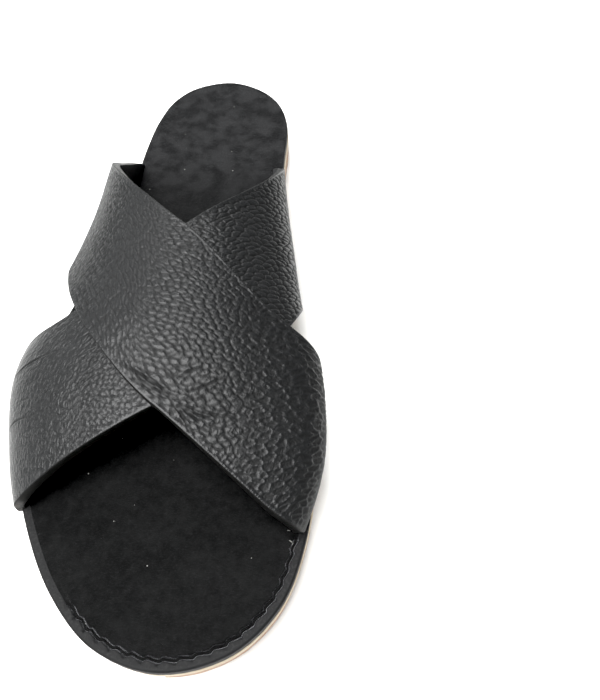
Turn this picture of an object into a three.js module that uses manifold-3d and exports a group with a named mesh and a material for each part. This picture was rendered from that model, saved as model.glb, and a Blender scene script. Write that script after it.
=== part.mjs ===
// A slide sandal for the right foot: two wide leather bands cross over the foot, and their
// ends tuck into a sole of stacked leather layers.
// Millimetres, +Z up. The toe points to -Y and the inner side of the foot lies at +X.
// The origin is at the middle of the sandal's box, on the floor.

import * as THREE from "three";
import { mergeVertices } from "three/addons/utils/BufferGeometryUtils.js";
import Module from "manifold-3d";

const wasm = await Module();
wasm.setup();

// Sizes that drive the sandal
const soleLength = 255;
const ballWidth = 93.5;
const instepHeight = 62;
const toeSpring = 6.2;
const heelRise = 2;
const archClearance = 1.2;
const outsoleThickness = 3.3;
const lowerMidsoleThickness = 2.3;
const upperMidsoleThickness = 1.9;
const baseThickness = 2;
const insoleThickness = 1.7;
const insoleEdgeRadius = 0.9;
const soleEdgeBevel = 0.25;
const blackEdgeInset = 0.15;
const bandThickness = 3;
const outerSeatOverhang = 1.2;
const innerSeatInset = 1.5;
const seatBendRadius = 1;
const tuckThickness = 0.9;
const tuckLength = 11;
const clearance = 0.3;

// Where the sole bends, as shares of its length from heel to toe
const springStart = 0.7;
const heelFront = 0.45;
const heelBack = 0.22;
const archBack = 0.27;
const archFront = 0.62;

// Plan outline of the sole: half widths at each station, as shares of the ball width
const outlineRows = [
  { along: 0.02, inner: 0.157, outer: 0.161 },
  { along: 0.06, inner: 0.257, outer: 0.257 },
  { along: 0.12, inner: 0.308, outer: 0.311 },
  { along: 0.2, inner: 0.307, outer: 0.339 },
  { along: 0.3, inner: 0.305, outer: 0.354 },
  { along: 0.4, inner: 0.318, outer: 0.397 },
  { along: 0.5, inner: 0.352, outer: 0.454 },
  { along: 0.6, inner: 0.4, outer: 0.513 },
  { along: 0.7, inner: 0.455, outer: 0.541 },
  { along: 0.78, inner: 0.482, outer: 0.498 },
  { along: 0.86, inner: 0.46, outer: 0.401 },
  { along: 0.93, inner: 0.396, outer: 0.273 },
  { along: 0.98, inner: 0.265, outer: 0.12 },
];
const heelTipShift = 0.007;
const toeTipShift = 0.07;

// Inside of the bands over the foot. The crown is a share of the instep height over the floor.
// Lean moves the crown to the inner side and the bulges swell the walls, in shares of the ball width.
const archRows = [
  { along: 0.25, crown: 0.965, lean: 0, outerBulge: -0.005, innerBulge: 0.045 },
  { along: 0.36, crown: 0.86, lean: 0.02, outerBulge: -0.01, innerBulge: 0.07 },
  { along: 0.46, crown: 0.755, lean: 0.045, outerBulge: -0.02, innerBulge: 0.085 },
  { along: 0.56, crown: 0.685, lean: 0.07, outerBulge: -0.005, innerBulge: 0.085 },
  { along: 0.66, crown: 0.625, lean: 0.05, outerBulge: 0.035, innerBulge: 0.1 },
  { along: 0.76, crown: 0.51, lean: 0.022, outerBulge: 0.005, innerBulge: 0.075 },
  { along: 0.88, crown: 0.33, lean: 0.012, outerBulge: 0.01, innerBulge: 0 },
];
const archFullness = 2.12;
const bulgeSoftness = 1.3;

// Edges of the two bands, as shares of the sole's length from the heel.
// Sweep is 0 at the outer seat of a band, 0.5 at the crown and 1 at its inner seat.
const bandRows = [
  { sweep: 0, topRear: 0.238, topFront: 0.417, underRear: 0.673, underFront: 0.829 },
  { sweep: 0.12, topRear: 0.315, topFront: 0.496, underRear: 0.651, underFront: 0.826 },
  { sweep: 0.28, topRear: 0.395, topFront: 0.607, underRear: 0.625, underFront: 0.797 },
  { sweep: 0.5, topRear: 0.5, topFront: 0.744, underRear: 0.504, underFront: 0.742 },
  { sweep: 0.72, topRear: 0.605, topFront: 0.826, underRear: 0.4125, underFront: 0.654 },
  { sweep: 0.88, topRear: 0.654, topFront: 0.85, underRear: 0.3145, underFront: 0.565 },
  { sweep: 1, topRear: 0.692, topFront: 0.842, underRear: 0.243, underFront: 0.551 },
];
const lapStart = 0.04;
const lapFull = 0.2;
const lapWeld = 0.2;

// How finely the curved faces are divided
const outlineSamples = 900;
const lengthSteps = 60;
const sweepSteps = 44;
const acrossSteps = 8;
const tuckSteps = 2;
const seatBendSteps = 3;
const joinDistance = 0.002;

// Helpers for soft ramps and tables
const clamp01 = (value) => Math.min(1, Math.max(0, value));

function smoothStep(value) {
  const t = clamp01(value);
  return t * t * (3 - 2 * t);
}

function slopeAt(rows, key, column, index) {
  const before = rows[Math.max(0, index - 1)];
  const after = rows[Math.min(rows.length - 1, index + 1)];
  return (after[column] - before[column]) / (after[key] - before[key]);
}

function smoothColumn(rows, key, column) {
  return (value) => {
    const last = rows.length - 2;
    let index = 0;
    while (index < last && value > rows[index + 1][key]) {
      index += 1;
    }
    const from = rows[index];
    const to = rows[index + 1];
    const span = to[key] - from[key];
    const t = (value - from[key]) / span;
    const startSlope = slopeAt(rows, key, column, index) * span;
    const endSlope = slopeAt(rows, key, column, index + 1) * span;
    if (t < 0) {
      return from[column] + startSlope * t;
    }
    if (t > 1) {
      return to[column] + endSlope * (t - 1);
    }
    const rise = to[column] - from[column];
    const bendIn = startSlope - rise;
    const bendOut = rise - endSlope;
    return from[column] + rise * t + t * (1 - t) * (bendIn * (1 - t) + bendOut * t);
  };
}

// Places along the sole
const yAt = (along) => soleLength * (0.5 - along);
const alongAt = (y) => 0.5 - y / soleLength;

// Plan outline, as two edges that run from the heel to the toe
function outlineCurve() {
  const inner = outlineRows.map((row) => new THREE.Vector3(row.inner * ballWidth, yAt(row.along), 0));
  const outer = outlineRows.map((row) => new THREE.Vector3(-row.outer * ballWidth, yAt(row.along), 0));
  const heelTip = new THREE.Vector3(heelTipShift * ballWidth, yAt(0), 0);
  const toeTip = new THREE.Vector3(toeTipShift * ballWidth, yAt(1), 0);
  const points = [heelTip, ...inner, toeTip, ...outer.reverse()];
  return new THREE.CatmullRomCurve3(points, true, "centripetal");
}

function splitOutline() {
  const samples = outlineCurve().getPoints(outlineSamples).slice(0, outlineSamples);
  const ys = samples.map((point) => point.y);
  const heelIndex = ys.indexOf(Math.max(...ys));
  const toeIndex = ys.indexOf(Math.min(...ys));
  const walk = (direction) => {
    const edge = [];
    let index = heelIndex;
    while (index !== toeIndex) {
      edge.push(samples[index]);
      index = (index + direction + outlineSamples) % outlineSamples;
    }
    edge.push(samples[toeIndex]);
    return edge;
  };
  return { inner: walk(1), outer: walk(-1) };
}

const outlineEdges = splitOutline();

function edgeX(edge, y) {
  let index = 1;
  while (index < edge.length - 1 && edge[index].y > y) {
    index += 1;
  }
  const from = edge[index - 1];
  const to = edge[index];
  const t = clamp01((from.y - y) / (from.y - to.y));
  return from.x + (to.x - from.x) * t;
}

// Heights of the sole's levels
const archLift = (along) => {
  const share = clamp01((along - archBack) / (archFront - archBack));
  return archClearance * Math.sin(Math.PI * share) ** 2;
};
const toeLift = (along) => toeSpring * Math.max(0, (along - springStart) / (1 - springStart)) ** 2;
const heelLift = (along) => heelRise * smoothStep((heelFront - along) / (heelFront - heelBack));

const outsoleTop = outsoleThickness;
const lowerMidsoleBottom = outsoleTop + clearance;
const lowerMidsoleTop = lowerMidsoleBottom + lowerMidsoleThickness;
const upperMidsoleBottom = lowerMidsoleTop + clearance;
const upperMidsoleTop = upperMidsoleBottom + upperMidsoleThickness;
const baseBottom = upperMidsoleTop + clearance;
const baseTop = baseBottom + baseThickness;
const insoleBottom = baseTop + clearance;
const insoleTop = insoleBottom + insoleThickness;

const floorHeight = (along) => toeLift(along) + archLift(along);
const levelHeight = (level) => (along) => level + toeLift(along) + heelLift(along);

// A layer of the sole: rings of the outline, each inset from it and at its own height
function outlineLoop() {
  const inner = [];
  const outer = [];
  const heelY = outlineEdges.inner[0].y;
  const toeY = outlineEdges.inner[outlineEdges.inner.length - 1].y;
  for (let step = 1; step < lengthSteps; step += 1) {
    const share = 0.5 - 0.5 * Math.cos((Math.PI * step) / lengthSteps);
    const y = heelY + (toeY - heelY) * share;
    inner.push(new THREE.Vector2(edgeX(outlineEdges.inner, y), y));
    outer.push(new THREE.Vector2(edgeX(outlineEdges.outer, y), y));
  }
  const heelTip = new THREE.Vector2(outlineEdges.inner[0].x, heelY);
  const toeTip = new THREE.Vector2(outlineEdges.inner[outlineEdges.inner.length - 1].x, toeY);
  return [heelTip, ...inner, toeTip, ...outer.reverse()];
}

const soleLoop = outlineLoop();

function insetLoop(inset) {
  const count = soleLoop.length;
  return soleLoop.map((point, index) => {
    const before = soleLoop[(index + count - 1) % count];
    const after = soleLoop[(index + 1) % count];
    const inward = new THREE.Vector2(after.y - before.y, before.x - after.x).normalize();
    return point.clone().addScaledVector(inward, inset);
  });
}

function layerGeometry(rings) {
  const positions = [];
  const faces = [];
  const count = soleLoop.length;
  for (const ring of rings) {
    for (const point of insetLoop(ring.inset)) {
      positions.push(point.x, point.y, ring.height(alongAt(point.y)));
    }
  }
  for (let level = 0; level < rings.length - 1; level += 1) {
    for (let index = 0; index < count; index += 1) {
      const next = (index + 1) % count;
      const low = level * count;
      const high = low + count;
      faces.push(low + index, high + index, high + next);
      faces.push(low + index, high + next, low + next);
    }
  }
  const opposite = (index) => (index === 0 ? 0 : count - index);
  const topStart = (rings.length - 1) * count;
  for (let index = 0; index < lengthSteps; index += 1) {
    const next = index + 1;
    const across = opposite(index);
    const acrossNext = opposite(next);
    if (next < lengthSteps) {
      faces.push(index, next, acrossNext);
      faces.push(topStart + index, topStart + acrossNext, topStart + next);
    }
    if (index > 0) {
      faces.push(index, acrossNext, across);
      faces.push(topStart + index, topStart + across, topStart + acrossNext);
    }
  }
  const geometry = new THREE.BufferGeometry();
  geometry.setAttribute("position", new THREE.Float32BufferAttribute(positions, 3));
  geometry.setIndex(faces);
  return geometry;
}

const plainLayer = (bottomHeight, topLevel, inset) =>
  layerGeometry([
    { inset: inset + soleEdgeBevel, height: bottomHeight },
    { inset, height: (along) => bottomHeight(along) + soleEdgeBevel },
    { inset, height: levelHeight(topLevel - soleEdgeBevel) },
    { inset: inset + soleEdgeBevel, height: levelHeight(topLevel) },
  ]);

function insoleLayer() {
  const roundRings = [0, 0.25, 0.5, 0.75, 1].map((share) => {
    const angle = (Math.PI / 2) * share;
    const inset = blackEdgeInset + insoleEdgeRadius * (1 - Math.cos(angle));
    const drop = insoleEdgeRadius * (1 - Math.sin(angle));
    return { inset, height: levelHeight(insoleTop - drop) };
  });
  return layerGeometry([{ inset: blackEdgeInset, height: levelHeight(insoleBottom) }, ...roundRings]);
}

// The bands: a reference surface on the inside of the leather, over the foot
const crownShare = smoothColumn(archRows, "along", "crown");
const leanShare = smoothColumn(archRows, "along", "lean");
const outerBulgeShare = smoothColumn(archRows, "along", "outerBulge");
const innerBulgeShare = smoothColumn(archRows, "along", "innerBulge");

function insidePoint(along, sweep) {
  const y = yAt(along);
  const innerX = edgeX(outlineEdges.inner, y) - innerSeatInset - bandThickness;
  const outerX = edgeX(outlineEdges.outer, y) - outerSeatOverhang + bandThickness;
  const seatZ = levelHeight(insoleTop + clearance)(along);
  const swing = -Math.cos(Math.PI * sweep);
  const power = 2 / archFullness;
  const sideways = Math.sign(swing) * Math.abs(swing) ** power;
  const upward = Math.max(0, Math.sin(Math.PI * sweep)) ** power;
  const bulgeShare = swing > 0 ? innerBulgeShare(along) : outerBulgeShare(along);
  const bulge = bulgeShare * ballWidth * Math.sin(Math.PI * upward) ** bulgeSoftness;
  const lean = leanShare(along) * ballWidth * upward ** 2;
  const x = (innerX + outerX) / 2 + ((innerX - outerX) / 2 + bulge) * sideways + lean;
  const z = seatZ + (crownShare(along) * instepHeight - seatZ) * upward;
  return new THREE.Vector3(x, y, z);
}

const probe = 0.002;
const seatBlend = 0.06;

// The leather stands upright at its seats, so its outward normal is level there
function outwardNormal(along, sweep) {
  const sweepBack = Math.max(0, sweep - probe);
  const sweepOn = Math.min(1, sweep + probe);
  const acrossFoot = insidePoint(along, sweepOn).sub(insidePoint(along, sweepBack));
  const alongFoot = insidePoint(along + probe, sweep).sub(insidePoint(along - probe, sweep));
  const normal = alongFoot.cross(acrossFoot);
  normal.z *= smoothStep(Math.min(sweep, 1 - sweep) / seatBlend);
  return normal.normalize();
}

const bands = {
  top: {
    rear: smoothColumn(bandRows, "sweep", "topRear"),
    front: smoothColumn(bandRows, "sweep", "topFront"),
    lap: (sweep) => {
      const nearSeat = Math.min(sweep, 1 - sweep);
      return (bandThickness - lapWeld) * smoothStep((nearSeat - lapStart) / (lapFull - lapStart));
    },
  },
  under: {
    rear: smoothColumn(bandRows, "sweep", "underRear"),
    front: smoothColumn(bandRows, "sweep", "underFront"),
    lap: () => 0,
  },
};

// Stations along a band: a tuck under the insole, a bend at the seat, the sweep over the foot,
// and the other bend and tuck. The angle of a bend is 0 at the wall and 1 at the tuck.
function bandStations() {
  const stations = [];
  for (let step = tuckSteps; step > 0; step -= 1) {
    stations.push({ sweep: 0, bend: 1, tuck: step / tuckSteps });
  }
  for (let step = seatBendSteps; step >= 0; step -= 1) {
    stations.push({ sweep: 0, bend: step / seatBendSteps, tuck: 0 });
  }
  for (let step = 0; step <= sweepSteps; step += 1) {
    stations.push({ sweep: step / sweepSteps, bend: null, tuck: 0 });
  }
  for (let step = 0; step <= seatBendSteps; step += 1) {
    stations.push({ sweep: 1, bend: step / seatBendSteps, tuck: 0 });
  }
  for (let step = 1; step <= tuckSteps; step += 1) {
    stations.push({ sweep: 1, bend: 1, tuck: step / tuckSteps });
  }
  return stations;
}

function seatPoint(inside, normal, station, face, growth) {
  const angle = (Math.PI / 2) * station.bend;
  const wall = bandThickness + (tuckThickness - bandThickness) * station.bend;
  const radius = face === "inside" ? seatBendRadius - growth.inside : seatBendRadius + wall + growth.outside;
  const reach = seatBendRadius + (tuckLength - seatBendRadius + growth.inside) * station.tuck;
  const point = inside.clone().addScaledVector(normal, radius * Math.cos(angle) - reach);
  const centreLevel = baseTop + seatBendRadius - growth.drop;
  point.z = levelHeight(centreLevel)(alongAt(point.y)) - radius * Math.sin(angle);
  return point;
}

function bandPoint(band, station, across, face, growth) {
  const margin = growth.edge / soleLength;
  const rear = band.rear(station.sweep) - margin;
  const front = band.front(station.sweep) + margin;
  const along = rear + (front - rear) * across;
  const inside = insidePoint(along, station.sweep);
  const normal = outwardNormal(along, station.sweep);
  if (station.bend !== null) {
    return seatPoint(inside, normal, station, face, growth);
  }
  const lap = band.lap(station.sweep);
  const shift = face === "inside" ? lap - growth.inside : lap + bandThickness + growth.outside;
  return inside.addScaledVector(normal, shift);
}

const noGrowth = { inside: 0, outside: 0, edge: 0, drop: 0 };

function bandGeometry(band, growth = noGrowth) {
  const stations = bandStations();
  const rowLength = acrossSteps + 1;
  const faceSize = stations.length * rowLength;
  const positions = [];
  for (const face of ["inside", "outside"]) {
    for (const station of stations) {
      for (let step = 0; step <= acrossSteps; step += 1) {
        const point = bandPoint(band, station, step / acrossSteps, face, growth);
        positions.push(point.x, point.y, point.z);
      }
    }
  }
  const inside = (row, column) => row * rowLength + column;
  const outside = (row, column) => faceSize + inside(row, column);
  const faces = [];
  const quad = (a, b, c, d) => faces.push(a, b, c, a, c, d);
  const lastRow = stations.length - 1;
  for (let row = 0; row < lastRow; row += 1) {
    const rowOn = row + 1;
    for (let column = 0; column < acrossSteps; column += 1) {
      const columnOn = column + 1;
      quad(outside(row, column), outside(row, columnOn), outside(rowOn, columnOn), outside(rowOn, column));
      quad(inside(row, column), inside(rowOn, column), inside(rowOn, columnOn), inside(row, columnOn));
    }
    quad(outside(row, 0), outside(rowOn, 0), inside(rowOn, 0), inside(row, 0));
    quad(
      outside(row, acrossSteps), inside(row, acrossSteps),
      inside(rowOn, acrossSteps), outside(rowOn, acrossSteps),
    );
  }
  for (let column = 0; column < acrossSteps; column += 1) {
    const columnOn = column + 1;
    quad(inside(0, column), inside(0, columnOn), outside(0, columnOn), outside(0, column));
    quad(
      outside(lastRow, column), outside(lastRow, columnOn),
      inside(lastRow, columnOn), inside(lastRow, column),
    );
  }
  const geometry = new THREE.BufferGeometry();
  geometry.setAttribute("position", new THREE.Float32BufferAttribute(positions, 3));
  geometry.setIndex(faces);
  return geometry;
}

// Booleans between closed meshes
function toSolid(geometry) {
  const merged = mergeVertices(geometry, joinDistance / 100);
  return new wasm.Manifold(
    new wasm.Mesh({
      numProp: 3,
      vertProperties: new Float32Array(merged.attributes.position.array),
      triVerts: new Uint32Array(merged.index.array),
    }),
  );
}

// A cut can leave corners closer together than its numbers can tell apart, so they are joined
function toGeometry(solid) {
  const mesh = solid.getMesh();
  const geometry = new THREE.BufferGeometry();
  geometry.setAttribute("position", new THREE.BufferAttribute(new Float32Array(mesh.vertProperties), 3));
  geometry.setIndex(new THREE.BufferAttribute(new Uint32Array(mesh.triVerts), 1));
  const joined = mergeVertices(geometry, joinDistance);
  const faces = [];
  for (let start = 0; start < joined.index.count; start += 3) {
    const [a, b, c] = [0, 1, 2].map((corner) => joined.index.getX(start + corner));
    if (a !== b && b !== c && c !== a) {
      faces.push(a, b, c);
    }
  }
  joined.setIndex(faces);
  return joined;
}

// The tucked ends lie in shallow recesses of the base
const recessGrowth = { inside: clearance, outside: clearance, edge: clearance, drop: 0 };

const baseGeometry = (layer) => {
  const top = toSolid(bandGeometry(bands.top, recessGrowth));
  const under = toSolid(bandGeometry(bands.under, recessGrowth));
  return toGeometry(toSolid(layer).subtract(top).subtract(under));
};

// The insole has an upright notch for each end of a band, clear of the bend at the band's seat
function notchGeometry(band, sweep) {
  const margin = clearance / soleLength;
  const rear = band.rear(sweep) - margin;
  const front = band.front(sweep) + margin;
  const bendReach = seatBendRadius * (1 - Math.sqrt(1 - (1 - clearance / seatBendRadius) ** 2));
  const low = levelHeight(insoleBottom - insoleThickness);
  const high = levelHeight(insoleTop + insoleThickness);
  const positions = [];
  for (let step = 0; step <= acrossSteps; step += 1) {
    const along = rear + ((front - rear) * step) / acrossSteps;
    const seat = insidePoint(along, sweep);
    const outward = outwardNormal(along, sweep);
    const near = seat.clone().addScaledVector(outward, -clearance - bendReach);
    const far = seat.clone().addScaledVector(outward, 2 * bandThickness);
    positions.push(near.x, near.y, low(alongAt(near.y)), far.x, far.y, low(alongAt(far.y)));
    positions.push(far.x, far.y, high(alongAt(far.y)), near.x, near.y, high(alongAt(near.y)));
  }
  const faces = [0, 1, 2, 0, 2, 3];
  const last = 4 * acrossSteps;
  faces.push(last, last + 2, last + 1, last, last + 3, last + 2);
  for (let start = 0; start < last; start += 4) {
    for (let corner = 0; corner < 4; corner += 1) {
      const next = (corner + 1) % 4;
      faces.push(start + corner, start + 4 + corner, start + 4 + next);
      faces.push(start + corner, start + 4 + next, start + next);
    }
  }
  if (sweep === 1) {
    faces.reverse();
  }
  const geometry = new THREE.BufferGeometry();
  geometry.setAttribute("position", new THREE.Float32BufferAttribute(positions, 3));
  geometry.setIndex(faces);
  return geometry;
}

function insoleGeometry() {
  let insole = toSolid(insoleLayer());
  for (const band of [bands.top, bands.under]) {
    for (const sweep of [0, 1]) {
      insole = insole.subtract(toSolid(notchGeometry(band, sweep)));
    }
  }
  return toGeometry(insole);
}

const upperGeometry = () => {
  const top = toSolid(bandGeometry(bands.top));
  const under = toSolid(bandGeometry(bands.under));
  return toGeometry(top.add(under));
};

// Materials
const tanLeather = (color) => new THREE.MeshStandardMaterial({ color, roughness: 0.75, metalness: 0 });
const blackLeather = new THREE.MeshStandardMaterial({ color: 0x1e1f21, roughness: 0.45, metalness: 0 });
const blackEdge = new THREE.MeshStandardMaterial({ color: 0x222223, roughness: 0.6, metalness: 0 });
const footbedNubuck = new THREE.MeshStandardMaterial({ color: 0x2b2b2d, roughness: 0.95, metalness: 0 });

function namedMesh(name, geometry, material) {
  const mesh = new THREE.Mesh(geometry, material);
  mesh.name = name;
  return mesh;
}

// Assembly, from the floor up
const outsole = plainLayer(floorHeight, outsoleTop, 0);
const lowerMidsole = plainLayer(levelHeight(lowerMidsoleBottom), lowerMidsoleTop, 0);
const upperMidsole = plainLayer(levelHeight(upperMidsoleBottom), upperMidsoleTop, 0);
const base = plainLayer(levelHeight(baseBottom), baseTop, blackEdgeInset);

const sandal = new THREE.Group();
sandal.add(namedMesh("outsole", outsole, tanLeather(0xc49a78)));
sandal.add(namedMesh("midsole_lower", lowerMidsole, tanLeather(0xd2ac8a)));
sandal.add(namedMesh("midsole_upper", upperMidsole, tanLeather(0xdcc0a0)));
sandal.add(namedMesh("insole_base", baseGeometry(base), blackEdge));
sandal.add(namedMesh("insole", insoleGeometry(), footbedNubuck));
sandal.add(namedMesh("upper", upperGeometry(), blackLeather));

// The bands reach farther out than the sole on one side, so the whole sandal's box is centred
const sandalBox = new THREE.Box3().setFromObject(sandal);
sandal.position.x = -(sandalBox.min.x + sandalBox.max.x) / 2;

export default sandal;
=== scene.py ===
import math

import bpy
import numpy as np
from mathutils import Matrix, Vector


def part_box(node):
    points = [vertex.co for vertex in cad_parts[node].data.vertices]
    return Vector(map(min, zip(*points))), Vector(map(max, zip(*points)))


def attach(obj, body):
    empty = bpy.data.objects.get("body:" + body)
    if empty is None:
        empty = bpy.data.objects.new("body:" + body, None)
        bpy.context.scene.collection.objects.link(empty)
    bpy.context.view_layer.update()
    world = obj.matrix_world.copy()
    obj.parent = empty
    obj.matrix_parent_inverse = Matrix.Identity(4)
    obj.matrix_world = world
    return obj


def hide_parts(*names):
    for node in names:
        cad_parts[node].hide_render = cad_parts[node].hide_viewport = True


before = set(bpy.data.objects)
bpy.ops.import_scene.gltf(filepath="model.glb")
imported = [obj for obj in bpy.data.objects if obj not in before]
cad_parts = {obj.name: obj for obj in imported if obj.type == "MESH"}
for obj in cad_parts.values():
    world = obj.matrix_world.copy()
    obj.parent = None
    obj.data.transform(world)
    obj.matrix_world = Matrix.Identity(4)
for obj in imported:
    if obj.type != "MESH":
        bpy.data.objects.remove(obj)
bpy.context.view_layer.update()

# A slide sandal for the right foot: two crossed bands of black pebbled leather on a stacked leather sole.
# Lengths are in millimetres until a mesh is made. The toe points to -Y and the inner side lies at +X.
MM = 0.001


def cad_box(node):
    """A node's lowest and highest corner, in millimetres."""
    low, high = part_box(node)
    return np.array(low) / MM, np.array(high) / MM


def table(columns, *rows):
    """A short table with named columns."""
    return dict(zip(columns.split(), np.array(rows, dtype=float).T))


# Sizes of the sandal, as the solids have them
outsole_low, outsole_high = cad_box("outsole")
sole_length = outsole_high[1] - outsole_low[1]
ball_width = 93.5
instep_height = 62
toe_spring = 6.2
heel_rise = 2
arch_clearance = 1.2
outsole_thickness = 3.3
lower_midsole_thickness = 2.3
upper_midsole_thickness = 1.9
base_thickness = 2
insole_thickness = 1.7
band_thickness = 3
outer_seat_overhang = 1.2
inner_seat_inset = 1.5
seat_bend_radius = 1
tuck_thickness = 0.9
tuck_length = 7
clearance = 0.3

# Where the sole bends, as shares of its length from heel to toe
spring_start = 0.7
heel_front = 0.45
heel_back = 0.22
arch_back = 0.27
arch_front = 0.62

# Plan outline of the sole: half widths at each station, as shares of the ball width
OUTLINE = table(
    "along inner outer",
    (0.02, 0.157, 0.161),
    (0.06, 0.257, 0.257),
    (0.12, 0.308, 0.311),
    (0.2, 0.307, 0.339),
    (0.3, 0.305, 0.354),
    (0.4, 0.318, 0.397),
    (0.5, 0.352, 0.454),
    (0.6, 0.4, 0.513),
    (0.7, 0.455, 0.541),
    (0.78, 0.482, 0.498),
    (0.86, 0.46, 0.401),
    (0.93, 0.396, 0.273),
    (0.98, 0.265, 0.12),
)
heel_tip_shift = 0.007
toe_tip_shift = 0.07

# Inside of the bands over the foot. The crown is a share of the instep height over the floor.
# Lean and the bulges are shares of the ball width.
ARCH = table(
    "along crown lean outer_bulge inner_bulge",
    (0.25, 0.965, 0, -0.005, 0.045),
    (0.36, 0.86, 0.02, -0.01, 0.07),
    (0.46, 0.755, 0.045, -0.02, 0.085),
    (0.56, 0.685, 0.07, -0.005, 0.085),
    (0.66, 0.625, 0.05, 0.035, 0.1),
    (0.76, 0.51, 0.022, 0.005, 0.075),
    (0.88, 0.33, 0.012, 0.01, 0),
)
arch_fullness = 2.12
bulge_softness = 1.3
seat_blend = 0.06

# Edges of the two bands, as shares of the sole's length from the heel.
# Sweep is 0 at the outer seat of a band, 0.5 at the crown and 1 at its inner seat.
BAND_EDGES = table(
    "sweep top_rear top_front under_rear under_front",
    (0, 0.238, 0.417, 0.673, 0.829),
    (0.12, 0.315, 0.496, 0.64, 0.826),
    (0.28, 0.395, 0.607, 0.611, 0.797),
    (0.5, 0.5, 0.737, 0.504, 0.736),
    (0.72, 0.605, 0.826, 0.4125, 0.654),
    (0.88, 0.654, 0.85, 0.3145, 0.565),
    (1, 0.692, 0.842, 0.243, 0.551),
)
lap_start = 0.04
lap_full = 0.2
lap_gap = 0.06
band_girth = 125

# Heights of the sole's layers at the ball of the foot, with a fine joint between layers
joint_gap = 0.06
joint_reach = (clearance - joint_gap) / 2
outsole_top = outsole_thickness
lower_midsole_bottom = outsole_top + clearance
lower_midsole_top = lower_midsole_bottom + lower_midsole_thickness
upper_midsole_bottom = lower_midsole_top + clearance
upper_midsole_top = upper_midsole_bottom + upper_midsole_thickness
base_bottom = upper_midsole_top + clearance
base_top = base_bottom + base_thickness
insole_bottom = base_top + clearance
insole_top = insole_bottom + insole_thickness

# The footbed's worked edge: a rounded burnished rim, then a groove with stitches around the toe
black_edge_inset = 0.15
rim_radius = 0.8
groove_inset = 3.15
groove_half_width = 0.72
groove_depth = 0.95
groove_step = 0.56
strip_inset = 2.35
stitch_length = 4.7
stitch_gap = 0.6
thread_radius = 0.36

# How finely the meshes are divided
station_steps = 420
band_sweep_steps = 300
band_across_steps = 258
inside_across_steps = 16
bend_steps = 6


# Soft ramps and tables
def smooth_step(value):
    t = np.clip(value, 0, 1)
    return t * t * (3 - 2 * t)


def ramp(low, high, value):
    """Rises smoothly from 0 at low to 1 at high, and falls where low is above high."""
    return smooth_step((np.asarray(value, dtype=float) - low) / (high - low))


def hump(value, centre, half_width):
    """A soft hump of height 1 around a centre."""
    return np.exp(-(((np.asarray(value) - centre) / half_width) ** 2))


def smooth_column(rows, key, column):
    """A smooth curve through one column of a table, straight beyond its ends."""
    keys = rows[key]
    values = rows[column]
    before = np.maximum(np.arange(len(keys)) - 1, 0)
    after = np.minimum(np.arange(len(keys)) + 1, len(keys) - 1)
    slopes = (values[after] - values[before]) / (keys[after] - keys[before])

    def curve(at):
        at = np.asarray(at, dtype=float)
        index = np.clip(np.searchsorted(keys, at, side="left") - 1, 0, len(keys) - 2)
        span = keys[index + 1] - keys[index]
        t = (at - keys[index]) / span
        rise = values[index + 1] - values[index]
        start_slope = slopes[index] * span
        end_slope = slopes[index + 1] * span
        inside = np.clip(t, 0, 1)
        bend = (start_slope - rise) * (1 - inside) + (rise - end_slope) * inside
        result = values[index] + rise * inside + inside * (1 - inside) * bend
        return result + start_slope * np.minimum(t, 0) + end_slope * np.maximum(t - 1, 0)

    return curve


def y_at(along):
    return sole_length * (0.5 - along)


def along_at(y):
    return 0.5 - y / sole_length


# Plan outline of the sole, as two edges that run from the heel to the toe
def outline_points(samples_per_span=36):
    """A closed centripetal curve through the rows of the outline."""
    inner = np.stack([OUTLINE["inner"] * ball_width, y_at(OUTLINE["along"])], axis=1)
    outer = np.stack([-OUTLINE["outer"] * ball_width, y_at(OUTLINE["along"])], axis=1)
    heel_tip = [[heel_tip_shift * ball_width, y_at(0)]]
    toe_tip = [[toe_tip_shift * ball_width, y_at(1)]]
    knots = np.concatenate([heel_tip, inner, toe_tip, outer[::-1]])
    t = np.arange(samples_per_span)[:, None] / samples_per_span
    spans = []
    for index in range(len(knots)):
        p0, p1, p2, p3 = (knots[(index + offset) % len(knots)] for offset in (-1, 0, 1, 2))
        d0, d1, d2 = (math.sqrt(np.linalg.norm(b - a)) for a, b in ((p0, p1), (p1, p2), (p2, p3)))
        start = ((p1 - p0) / d0 - (p2 - p0) / (d0 + d1) + (p2 - p1) / d1) * d1
        end = ((p2 - p1) / d1 - (p3 - p1) / (d1 + d2) + (p3 - p2) / d2) * d1
        square = -3 * p1 + 3 * p2 - 2 * start - end
        cube = 2 * p1 - 2 * p2 + start + end
        spans.append(p1 + start * t + square * t**2 + cube * t**3)
    return np.concatenate(spans)


def split_outline():
    points = outline_points()
    heel = int(np.argmax(points[:, 1]))
    toe = int(np.argmin(points[:, 1]))
    points = np.roll(points, -heel, axis=0)
    toe = (toe - heel) % len(points)
    inner = points[: toe + 1]
    outer = np.concatenate([points[:1], points[: toe - 1 : -1]])
    return inner, outer


inner_edge, outer_edge = split_outline()
foot_shift = outsole_low[0] - outer_edge[:, 0].min()


def edge_x(edge, y):
    return np.interp(-np.asarray(y), -edge[:, 1], edge[:, 0])


def toe_lift(along):
    return toe_spring * np.maximum(0, (along - spring_start) / (1 - spring_start)) ** 2


def arch_lift(along):
    share = np.clip((along - arch_back) / (arch_front - arch_back), 0, 1)
    return arch_clearance * np.sin(math.pi * share) ** 2


def heel_lift(along):
    return heel_rise * smooth_step((heel_front - along) / (heel_front - heel_back))


def floor_height(y):
    return toe_lift(along_at(y)) + arch_lift(along_at(y))


def level_height(level, y):
    return level + toe_lift(along_at(y)) + heel_lift(along_at(y))


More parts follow.
